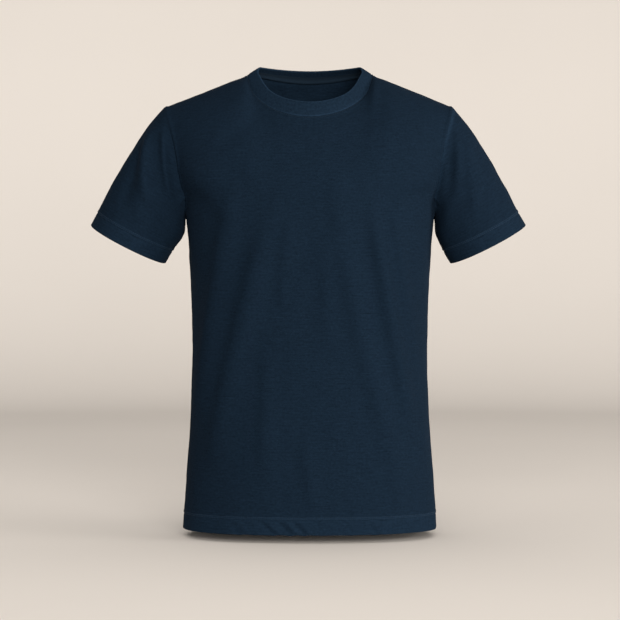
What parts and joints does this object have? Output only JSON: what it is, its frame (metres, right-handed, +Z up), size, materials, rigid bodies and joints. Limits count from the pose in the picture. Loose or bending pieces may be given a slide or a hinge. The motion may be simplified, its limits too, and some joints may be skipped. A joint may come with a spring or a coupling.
{
  "type": "crew neck t-shirt",
  "caption": "Short-sleeved crew neck t-shirt in plain knit cloth, filled out as it is worn and open at the neck, hem and cuffs.",
  "frame": {"origin": "midway between the two high shoulder points, where the wearer's shoulders carry the shirt", "axes": "+Z up, the shirt's front towards -Y, its left sleeve towards +X"},
  "size_m": [0.6578, 0.2501, 0.6991],
  "materials": {
    "jersey": "navy cotton jersey, faintly heathered, matt",
    "rib": "navy cotton rib knit, matt",
    "tape": "navy cotton tape, matt"
  },
  "bodies": {
    "root": {"front_panel": "jersey", "back_panel": "jersey", "sleeve_left": "jersey", "sleeve_right": "jersey", "neckband": "rib", "neck_tape": "tape"}
  },
  "joints": []
}
